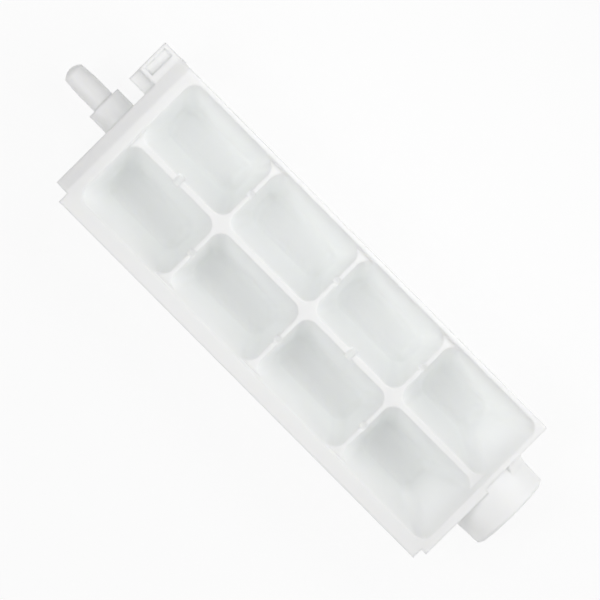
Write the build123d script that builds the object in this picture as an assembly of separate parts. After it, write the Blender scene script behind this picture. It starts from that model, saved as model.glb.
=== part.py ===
from build123d import *
import os
from math import radians, tan

# An ice maker tray of the kind that is turned over and twisted to drop its ice. It is moulded in one piece.
# Lengths are in millimetres and angles in degrees. X runs along the turning axis from the pivot pin to the
# drive hub, Y runs across the tray and Z is up. The origin is on the axis, where the pin meets its collar.

# Cavities, in two columns with a spine between them
ROWS = 4
CAVITY_LENGTH = 39.2
CAVITY_WIDTH = 25.6
CAVITY_DEPTH = 27.5
END_DRAFT = 8.0
SIDE_DRAFT = 14.0
CAVITY_ROUND = 4.5  # corners and floor edges alike
WALL = 1.5
CROSS_DIVIDER = 1.5
SPINE = 2.2
DRIVE_END_RUN = 10.0  # extra lean of the last pair's end walls, which makes room for the drive hub

# Weirs that let the water level out between cavities
WEIR_WIDTH = 2.3
WEIR_DEPTH = 4.0
WEIR_REACH = 6.4
WEIR_PAD_WIDTH = 6.0
SPINE_WEIR_STEP = 2  # rows from one spine weir to the next

# Rim round the cavities, and the deck that ties the cups together
FREEBOARD = 3.0
RIM_SIDE = 2.4
RIM_PIN_END = 4.0
RIM_DRIVE_END = 3.2
RIM_EDGE = 0.5
DECK = 2.0

# Flange along one side and lip on the same half of the drive end
FLANGE_WIDTH = 3.9
FLANGE_THICKNESS = 2.0
FLANGE_INSET = 0.6
LIP_REACH = 1.6

# Pivot pin and its collar
PIN_DIAMETER = 8.6
PIN_LAND = 8.0
PIN_LENGTH = 16.0
PIN_TIP_DIAMETER = 7.7
PIN_DOME = 1.7
COLLAR_DIAMETER = 13.3
COLLAR_LENGTH = 8.0

# End plate under a sloping apron, with ribs to the first cups
APRON_LENGTH = 4.5
APRON_DROP = 2.0
END_PLATE = 2.2
END_PLATE_FOOT = -10.0
END_PLATE_CORNER = 6.0
RIB = 1.6
PIN_RIB_FOOT = -8.5

# Stop lug on the end plate
LUG_REACH = 7.5
LUG_WIDTH = 16.9
LUG_HEIGHT = 11.0
LUG_WALL = 1.3
LUG_POCKET_LENGTH = 3.4
LUG_POCKET_WIDTH = 9.3
LUG_POCKET_DEPTH = 1.2
LUG_STEP_WIDTH = 4.8
LUG_STEP_DROP = 3.0

# Drive hub with its keyed socket
HUB_DIAMETER = 31.0  # at the drive plate
HUB_LENGTH = 13.0
HUB_DRAFT = 2.0
HUB_EDGE = 0.8
HUB_WALL = 2.2
HUB_BELOW_RIM = 0.5
HUB_FLARE = 3.5
LIP_FLARE = 1.6
FLARE_START_ANGLE = -30.0
FLARE_TURN_ANGLE = 80.0
SOCKET_DIAMETER = 10.0
SOCKET_WALL = 3.0
SOCKET_RECESS = 1.0
KEY_WIDTH = 3.0
KEY_DEPTH = 1.4
SPOKES = 4
SPOKE_RECESS = 2.0

# Drive plate behind the hub, with ribs to the last cups
DRIVE_PLATE = 2.0
DRIVE_PLATE_FOOT = -13.0
DRIVE_PLATE_FOOT_WIDTH = 22.0
DRIVE_RIB_SPACING = 14.0
DRIVE_RIB_FOOT = -11.5

# Length that cuts run past the faces they open
OVERCUT = 1.0

# Positions that follow from the sizes
end_lean = CAVITY_DEPTH * tan(radians(END_DRAFT))
side_lean = CAVITY_DEPTH * tan(radians(SIDE_DRAFT))
outer_depth = CAVITY_DEPTH + WALL
row_pitch = CAVITY_LENGTH + CROSS_DIVIDER
column_y = (CAVITY_WIDTH + SPINE) / 2
field_length = ROWS * row_pitch - CROSS_DIVIDER
field_width = 2 * CAVITY_WIDTH + SPINE
half_width = field_width / 2 + RIM_SIDE
rim_x0 = COLLAR_LENGTH + APRON_LENGTH
field_x0 = rim_x0 + RIM_PIN_END
field_x1 = field_x0 + field_length
rim_x1 = field_x1 + RIM_DRIVE_END
hub_x1 = rim_x1 + HUB_LENGTH
hub_r = HUB_DIAMETER / 2
rim_z = hub_r + HUB_BELOW_RIM
divider_z = rim_z - FREEBOARD
deck_z = divider_z - DECK
apron_z = rim_z - APRON_DROP
flange_z = rim_z - FLANGE_THICKNESS
row_x = [field_x0 + CAVITY_LENGTH / 2 + row * row_pitch for row in range(ROWS)]
divider_x = [x + row_pitch / 2 for x in row_x[:-1]]


def block(x0, x1, y0, y1, z0, z1):
    """Box between two limits on each axis."""
    middle = Pos((x0 + x1) / 2, (y0 + y1) / 2, (z0 + z1) / 2)
    return middle * Box(x1 - x0, y1 - y0, z1 - z0)


def rod(x0, x1, diameter):
    """Cylinder on the turning axis."""
    return Pos((x0 + x1) / 2, 0, 0) * Rot(0, 90, 0) * Cylinder(diameter / 2, x1 - x0)


def prism(plane, points, width):
    """Outline drawn on a plane, made as thick as width about that plane."""
    return extrude(plane * make_face(Polyline(*points, close=True)), width / 2, both=True)


def trapezoid(top, bottom, half_top, low_lean, high_lean):
    """Outline between two depths, half_top wide each way at the divider tops, with a lean on each side."""
    shares = (top / CAVITY_DEPTH, bottom / CAVITY_DEPTH)
    low = [(-half_top + share * low_lean, -share * CAVITY_DEPTH) for share in shares]
    high = [(half_top - share * high_lean, -share * CAVITY_DEPTH) for share in shares]
    return low + high[::-1]


def frustum(length, width, top, bottom, end_run):
    """Drafted block with sharp edges, sized at the divider tops, as two prisms that cross."""
    along = trapezoid(top, bottom, length / 2, end_lean, end_lean + end_run)
    across = trapezoid(top, bottom, width / 2, side_lean, side_lean)
    return prism(Plane.XZ, along, 2 * width) & prism(Plane.YZ, across, 2 * length)


def core(end_run):
    """Rounded inside of a cavity, running up past the rim."""
    solid = frustum(CAVITY_LENGTH, CAVITY_WIDTH, -FREEBOARD - OVERCUT, CAVITY_DEPTH, end_run)
    return fillet(solid.edges() - solid.edges().group_by(Axis.Z)[-1], CAVITY_ROUND)


def cup(end_run):
    """Outside of a cavity, with rounded corners and a rounded foot."""
    solid = frustum(CAVITY_LENGTH + 2 * WALL, CAVITY_WIDTH + 2 * WALL, 0, outer_depth, end_run)
    foot, corners, _ = solid.edges().group_by(Axis.Z)
    low_side, high_side = corners.group_by(Axis.Y)
    rounded = [fillet(edges, CAVITY_ROUND + WALL) for edges in (foot, low_side, high_side)]
    return rounded[0] & rounded[1] & rounded[2]


def at_cavities(make):
    """One solid for each cavity, with the sloped kind in the row next to the hub."""
    plain = make(0)
    sloped = make(DRIVE_END_RUN)
    kinds = [plain] * (ROWS - 1) + [sloped]
    return [Pos(x, y, divider_z) * kind for x, kind in zip(row_x, kinds) for y in (-column_y, column_y)]


# Rim, deck, flange and lip
rim = block(rim_x0, rim_x1, -half_width, half_width, deck_z, rim_z)
flange_y = -half_width - FLANGE_WIDTH
flange = block(rim_x0 + FLANGE_INSET, rim_x1 - FLANGE_INSET, flange_y, -half_width, flange_z, rim_z)
lip = block(rim_x1 - WALL, rim_x1 + LIP_REACH, -half_width, 0, flange_z, rim_z)

# Room over the dividers, in line with the outer walls and clear of the cavities' corners
recess = frustum(field_length, field_width, -FREEBOARD - OVERCUT, 0, DRIVE_END_RUN)
recess = fillet(recess.edges().group_by(Axis.Z)[1], CAVITY_ROUND + WALL)
recess = Pos((field_x0 + field_x1) / 2, 0, divider_z) * recess

# End plate and apron
plate_sketch = Pos(0, (apron_z + END_PLATE_FOOT) / 2) * Rectangle(2 * half_width, apron_z - END_PLATE_FOOT)
plate_sketch = fillet(plate_sketch.vertices().group_by(Axis.Y)[0], END_PLATE_CORNER)
plate = Pos(COLLAR_LENGTH, 0, 0) * extrude(Plane.YZ * plate_sketch, END_PLATE)
apron_side = [(COLLAR_LENGTH, deck_z), (rim_x0, deck_z), (rim_x0, rim_z), (COLLAR_LENGTH, apron_z)]
apron = prism(Plane.XZ, apron_side, 2 * half_width)

# Collar and pin
plate_middle = COLLAR_LENGTH + END_PLATE / 2
collar = rod(0, plate_middle, COLLAR_DIAMETER)
pin_r = PIN_DIAMETER / 2
tip_r = PIN_TIP_DIAMETER / 2
tip_x = PIN_DOME - PIN_LENGTH
dome_r = (tip_r**2 + PIN_DOME**2) / (2 * PIN_DOME)
pin_side = Polyline((-PIN_LENGTH, 0), (WALL, 0), (WALL, pin_r), (-PIN_LAND, pin_r), (tip_x, tip_r))
pin_tip = RadiusArc((tip_x, tip_r), (-PIN_LENGTH, 0), -dome_r)
pin = revolve(make_face(pin_side + pin_tip), Axis.X)

# Stop lug
lug_x0 = COLLAR_LENGTH - LUG_REACH
lug_y0 = half_width - LUG_WIDTH
pocket_x0 = lug_x0 + LUG_WALL
pocket_y1 = half_width - LUG_WALL
pocket_x = (pocket_x0, pocket_x0 + LUG_POCKET_LENGTH)
pocket_y = (pocket_y1 - LUG_POCKET_WIDTH, pocket_y1)
lug = block(lug_x0, plate_middle, lug_y0, half_width, apron_z - LUG_HEIGHT, apron_z)
lug_pocket = block(*pocket_x, *pocket_y, apron_z - LUG_POCKET_DEPTH, apron_z + OVERCUT)
lug_step_y = (lug_y0 - OVERCUT, lug_y0 + LUG_STEP_WIDTH)
lug_step = block(lug_x0 - OVERCUT, COLLAR_LENGTH, *lug_step_y, apron_z - LUG_STEP_DROP, apron_z + OVERCUT)

# Drive plate and hub
drive_x0 = rim_x1 - DRIVE_PLATE
foot_y = DRIVE_PLATE_FOOT_WIDTH / 2
drive_outline = [
    (-half_width, deck_z), (-foot_y, DRIVE_PLATE_FOOT), (foot_y, DRIVE_PLATE_FOOT), (half_width, deck_z),
]
drive_plate = Pos(rim_x1 - DRIVE_PLATE / 2, 0, 0) * prism(Plane.YZ, drive_outline, DRIVE_PLATE)
end_r = hub_r - HUB_LENGTH * tan(radians(HUB_DRAFT))
hub_side = Polyline(
    (drive_x0, 0), (hub_x1, 0), (hub_x1, end_r - HUB_EDGE), (hub_x1 - HUB_EDGE, end_r),
    (rim_x1, hub_r), (drive_x0, hub_r), close=True,
)
hub = revolve(make_face(hub_side), Axis.X)


def flare(x0, radius):
    """Curved foot of the hub on its +Y side, against a wall at x0."""
    inside = hub_r - HUB_WALL
    x1 = x0 + radius
    outside = hub_r + radius
    side = Polyline((x0, outside), (x0, inside), (x1, inside), (x1, hub_r))
    arc = RadiusArc((x1, hub_r), (x0, outside), radius)
    return Rot(FLARE_START_ANGLE, 0, 0) * revolve(make_face(side + arc), Axis.X, FLARE_TURN_ANGLE)


flares = [flare(rim_x1, HUB_FLARE), mirror(flare(rim_x1, LIP_FLARE), Plane.XZ)]

# Socket in the hub, with coring and spokes round it
socket_r = SOCKET_DIAMETER / 2
tube = rod(rim_x1, hub_x1 - SOCKET_RECESS, SOCKET_DIAMETER + 2 * SOCKET_WALL)
spoke = block(rim_x1, hub_x1 - SPOKE_RECESS, -RIB / 2, RIB / 2, socket_r, hub_r)
spokes = [Rot(45 + turn * 360 / SPOKES, 0, 0) * spoke for turn in range(SPOKES)]
coring = rod(rim_x1, hub_x1 + OVERCUT, HUB_DIAMETER - 2 * HUB_WALL) - tube - spokes
key_reach = socket_r + KEY_DEPTH
keys = block(rim_x1, hub_x1 + OVERCUT, -key_reach, key_reach, -KEY_WIDTH / 2, KEY_WIDTH / 2)
socket = rod(rim_x1, hub_x1 + OVERCUT, SOCKET_DIAMETER) + keys

# Ribs from the end plates to the cups
pin_cup_x = field_x0 + end_lean
pin_rib = [(plate_middle, PIN_RIB_FOOT), (pin_cup_x, 0), (pin_cup_x, divider_z), (plate_middle, divider_z)]
drive_cup_x = field_x1 - end_lean - DRIVE_END_RUN
drive_rib = [(rim_x1, DRIVE_RIB_FOOT), (drive_cup_x, 0), (drive_cup_x, deck_z), (rim_x1, deck_z)]
ribs = []
for side in (-1, 1):
    ribs.append(Pos(0, side * column_y, 0) * prism(Plane.XZ, pin_rib, RIB))
    ribs.append(Pos(0, side * DRIVE_RIB_SPACING / 2, 0) * prism(Plane.XZ, drive_rib, RIB))

# Weirs, with pads under them that keep the dividers closed
weir_sketch = Rot(0, 0, 90) * SlotOverall(2 * WEIR_DEPTH, WEIR_WIDTH)
weir = extrude(Plane.YZ * weir_sketch, WEIR_REACH, both=True)
pad_depth = WEIR_DEPTH + 2 * WALL
pad = Pos(0, 0, -pad_depth / 2) * Box(2 * WEIR_REACH, WEIR_PAD_WIDTH, pad_depth)
weir_places = [Pos(x, y, divider_z) for x in divider_x for y in (-column_y, column_y)]
weir_places += [Pos(x, 0, divider_z) * Rot(0, 0, 90) for x in row_x[::SPINE_WEIR_STEP]]
weirs = [place * weir for place in weir_places]
pads = [place * pad for place in weir_places]

# One moulded body: everything solid first, then the hollows
tray = rim + at_cavities(cup) + pads + ribs
tray = tray + [flange, lip, plate, apron, collar, pin, lug, drive_plate, hub] + flares
tray = tray - recess - at_cavities(core) - weirs
tray = tray - [lug_pocket, lug_step, coring, socket]

# Softened long edges of the rim
rim_top = tray.faces().filter_by(Plane.XY).group_by(Axis.Z)[-1].sort_by(SortBy.AREA)[-1]
long_edges = [edge for edge in rim_top.outer_wire().edges() if edge.length > field_length / 2]
tray = tray.solid().fillet(RIM_EDGE, long_edges)

os.makedirs("parts", exist_ok=True)
ice_tray = tray.solid()
ice_tray.label = "ice_tray"
export_step(ice_tray, "parts/ice_tray.step")
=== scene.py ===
from math import radians

import bpy
from mathutils import Matrix, Vector


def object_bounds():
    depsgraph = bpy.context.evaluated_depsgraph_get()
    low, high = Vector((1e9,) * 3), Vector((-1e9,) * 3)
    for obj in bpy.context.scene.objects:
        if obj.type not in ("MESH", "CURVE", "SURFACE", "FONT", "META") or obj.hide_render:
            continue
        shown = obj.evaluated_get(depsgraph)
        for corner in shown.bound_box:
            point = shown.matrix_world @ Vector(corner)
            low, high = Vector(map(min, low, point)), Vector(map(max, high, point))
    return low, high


# Natural plastic
PALE = (0.935, 0.950, 0.945, 1.0)
PALER = (0.955, 0.965, 0.960, 1.0)
REFRACTION = 1.49
SCATTER_COLOURS = (1.0, 1.0, 0.95)
SCATTER_LENGTH = 0.0015
CLOUD_SCALE = 45.0
GRAIN_SCALE = 2600.0
GRAIN_HEIGHT = 0.0001
GRAIN_STRENGTH = 0.12
SATIN = (0.34, 0.46)
EDGE_ROUND = 0.0012
EDGE_SAMPLES = 8

# White floor
WHITE = (1.0, 1.0, 1.0, 1.0)
PAPER = (0.93, 0.93, 0.93, 1.0)
PAPER_ROUGHNESS = 0.9
PLAIN_WHITE_SHARE = 0.88
FLOOR_SIZE = 6.0
FLOOR_CLEARANCE = 0.0003

# Studio light: directions from the middle of the tray, and watts
WORLD_LIGHT = 0.36
SOFTBOXES = {
    "right": ((1.0, 1.0, 0.35), 4.6),
    "left": ((-1.0, -1.0, 2.2), 4.3),
    "front": ((0.2, -1.0, 0.8), 1.8),
    "hub": ((1.0, 0.1, 0.7), 1.7),
}
SOFTBOX_DISTANCE = 1.4
SOFTBOX_SIZE = 0.65
STRIP_TOWARDS = (0.0, 0.65, 1.0)
STRIP_DISTANCE = 0.155
STRIP_LENGTH = 0.26
STRIP_WIDTH = 0.06
STRIP_POWER = 0.088

# Camera of the photograph, nearly overhead: degrees, metres, and millimetres for the lens
CAMERA_TURNS = ((3.415, "X"), (-0.31, "Y"), (-45.23, "Z"))
AIM = Vector((0.093, 0.0, 0.0))
AIM_FROM_CAMERA = Vector((-0.000308, 0.000129, -1.5))
LENS = 267.94
SENSOR = 36.0
FARTHEST = 20.0

# Light passes through several thin walls
BOUNCES = 32
DIFFUSE_BOUNCES = 24

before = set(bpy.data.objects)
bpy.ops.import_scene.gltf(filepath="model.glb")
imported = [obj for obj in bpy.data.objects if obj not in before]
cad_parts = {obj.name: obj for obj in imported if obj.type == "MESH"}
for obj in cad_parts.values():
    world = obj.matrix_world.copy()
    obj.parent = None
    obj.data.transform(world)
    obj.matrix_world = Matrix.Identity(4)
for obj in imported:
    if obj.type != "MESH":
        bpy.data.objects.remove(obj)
cad_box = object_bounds()
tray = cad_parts["ice_tray"]
scene = bpy.context.scene
low, high = (Vector(corner) for corner in cad_box)
middle = (low + high) / 2


def new_material(name):
    """An empty node material with its output and a Principled shader."""
    material = bpy.data.materials.new(name)
    material.use_nodes = True
    tree = material.node_tree
    tree.nodes.clear()
    output = tree.nodes.new("ShaderNodeOutputMaterial")
    shader = tree.nodes.new("ShaderNodeBsdfPrincipled")
    tree.links.new(shader.outputs["BSDF"], output.inputs["Surface"])
    return material, tree, shader


def noise(tree, coords, scale, detail):
    """Noise texture over object coordinates."""
    node = tree.nodes.new("ShaderNodeTexNoise")
    node.inputs["Scale"].default_value = scale
    node.inputs["Detail"].default_value = detail
    tree.links.new(coords, node.inputs["Vector"])
    return node.outputs["Fac"]


def ramp(tree, value, least, most):
    """Map a 0 to 1 value onto a range."""
    node = tree.nodes.new("ShaderNodeMapRange")
    node.inputs["To Min"].default_value = least
    node.inputs["To Max"].default_value = most
    tree.links.new(value, node.inputs["Value"])
    return node.outputs["Result"]


def natural_plastic():
    """Milky, slightly translucent moulded polypropylene with a satin skin."""
    material, tree, shader = new_material("natural_plastic")
    coords = tree.nodes.new("ShaderNodeTexCoord").outputs["Object"]
    shader.inputs["IOR"].default_value = REFRACTION
    shader.inputs["Subsurface Weight"].default_value = 1.0
    shader.inputs["Subsurface Radius"].default_value = SCATTER_COLOURS
    shader.inputs["Subsurface Scale"].default_value = SCATTER_LENGTH
    clouds = noise(tree, coords, CLOUD_SCALE, 3.0)
    mix = tree.nodes.new("ShaderNodeMix")
    mix.data_type = "RGBA"
    mix.inputs["A"].default_value = PALE
    mix.inputs["B"].default_value = PALER
    tree.links.new(clouds, mix.inputs["Factor"])
    tree.links.new(mix.outputs["Result"], shader.inputs["Base Color"])
    tree.links.new(ramp(tree, clouds, *SATIN), shader.inputs["Roughness"])
    edges = tree.nodes.new("ShaderNodeBevel")
    edges.samples = EDGE_SAMPLES
    edges.inputs["Radius"].default_value = EDGE_ROUND
    bump = tree.nodes.new("ShaderNodeBump")
    bump.inputs["Strength"].default_value = GRAIN_STRENGTH
    bump.inputs["Distance"].default_value = GRAIN_HEIGHT
    tree.links.new(noise(tree, coords, GRAIN_SCALE, 2.0), bump.inputs["Height"])
    tree.links.new(edges.outputs["Normal"], bump.inputs["Normal"])
    tree.links.new(bump.outputs["Normal"], shader.inputs["Normal"])
    return material


def seen_directly(tree, share):
    """Share for rays that show a background, straight or by way of a gloss or a clear part, else 0."""
    path = tree.nodes.new("ShaderNodeLightPath").outputs
    total = path["Is Camera Ray"]
    for kind in ("Is Glossy Ray", "Is Transmission Ray"):
        either = tree.nodes.new("ShaderNodeMath")
        either.operation = "MAXIMUM"
        tree.links.new(total, either.inputs[0])
        tree.links.new(path[kind], either.inputs[1])
        total = either.outputs["Value"]
    return ramp(tree, total, 0.0, share)


def blend(tree, share, under, over, output):
    """Mix two shaders by a share and send the result to an output."""
    node = tree.nodes.new("ShaderNodeMixShader")
    tree.links.new(share, node.inputs["Fac"])
    tree.links.new(under, node.inputs[1])
    tree.links.new(over, node.inputs[2])
    tree.links.new(node.outputs["Shader"], output)


def floor_white():
    """Matt white paper that shows as nearly plain white and keeps a faint shadow."""
    material, tree, shader = new_material("floor_white")
    shader.inputs["Base Color"].default_value = PAPER
    shader.inputs["Roughness"].default_value = PAPER_ROUGHNESS
    shader.inputs["Specular IOR Level"].default_value = 0.0
    white = tree.nodes.new("ShaderNodeEmission")
    white.inputs["Color"].default_value = WHITE
    white.inputs["Strength"].default_value = 1.0
    share = seen_directly(tree, PLAIN_WHITE_SHARE)
    surface = tree.nodes["Material Output"].inputs["Surface"]
    blend(tree, share, shader.outputs["BSDF"], white.outputs["Emission"], surface)
    return material


def studio_world():
    """Even light from all round that shows as plain white."""
    world = bpy.data.worlds.new("studio")
    world.use_nodes = True
    tree = world.node_tree
    light = tree.nodes["Background"]
    light.inputs["Color"].default_value = WHITE
    light.inputs["Strength"].default_value = WORLD_LIGHT
    white = tree.nodes.new("ShaderNodeBackground")
    white.inputs["Color"].default_value = WHITE
    white.inputs["Strength"].default_value = 1.0
    share = seen_directly(tree, 1.0)
    surface = tree.nodes["World Output"].inputs["Surface"]
    blend(tree, share, light.outputs["Background"], white.outputs["Background"], surface)
    return world


def area_lamp(name, towards, distance, length, width, power):
    """Soft lamp that faces the middle of the tray from a direction."""
    data = bpy.data.lights.new(name, "AREA")
    data.shape = "RECTANGLE"
    data.size = length
    data.size_y = width
    data.energy = power
    lamp = bpy.data.objects.new(name, data)
    direction = Vector(towards).normalized()
    lamp.location = middle + direction * distance
    lamp.rotation_euler = direction.to_track_quat("Z", "Y").to_euler()
    lamp.visible_camera = False
    scene.collection.objects.link(lamp)


def photo_camera():
    """Camera with the photograph's view of the tray."""
    turn = Matrix.Identity(3)
    for degrees, axis in CAMERA_TURNS:
        turn = turn @ Matrix.Rotation(radians(degrees), 3, axis)
    data = bpy.data.cameras.new("camera")
    data.sensor_width = SENSOR
    data.lens = LENS
    data.clip_end = FARTHEST
    camera = bpy.data.objects.new("camera", data)
    place = AIM - turn.transposed() @ AIM_FROM_CAMERA
    camera.matrix_world = Matrix.Translation(place) @ turn.transposed().to_4x4()
    scene.collection.objects.link(camera)
    return camera


# Plastic on the moulding
tray.data.materials.clear()
tray.data.materials.append(natural_plastic())

# Floor just under the cups
bpy.ops.mesh.primitive_plane_add(size=FLOOR_SIZE, location=(middle.x, middle.y, low.z - FLOOR_CLEARANCE))
floor = bpy.context.object
floor.name = "floor"
floor.data.materials.append(floor_white())

# Even studio light, with softboxes all round and a strip over the plain side
scene.world = studio_world()
for box_name, (box_towards, box_power) in SOFTBOXES.items():
    area_lamp(box_name, box_towards, SOFTBOX_DISTANCE, SOFTBOX_SIZE, SOFTBOX_SIZE, box_power)
area_lamp("strip", STRIP_TOWARDS, STRIP_DISTANCE, STRIP_LENGTH, STRIP_WIDTH, STRIP_POWER)

scene.camera = photo_camera()
scene.view_settings.view_transform = "Standard"
scene.cycles.max_bounces = BOUNCES
scene.cycles.diffuse_bounces = DIFFUSE_BOUNCES
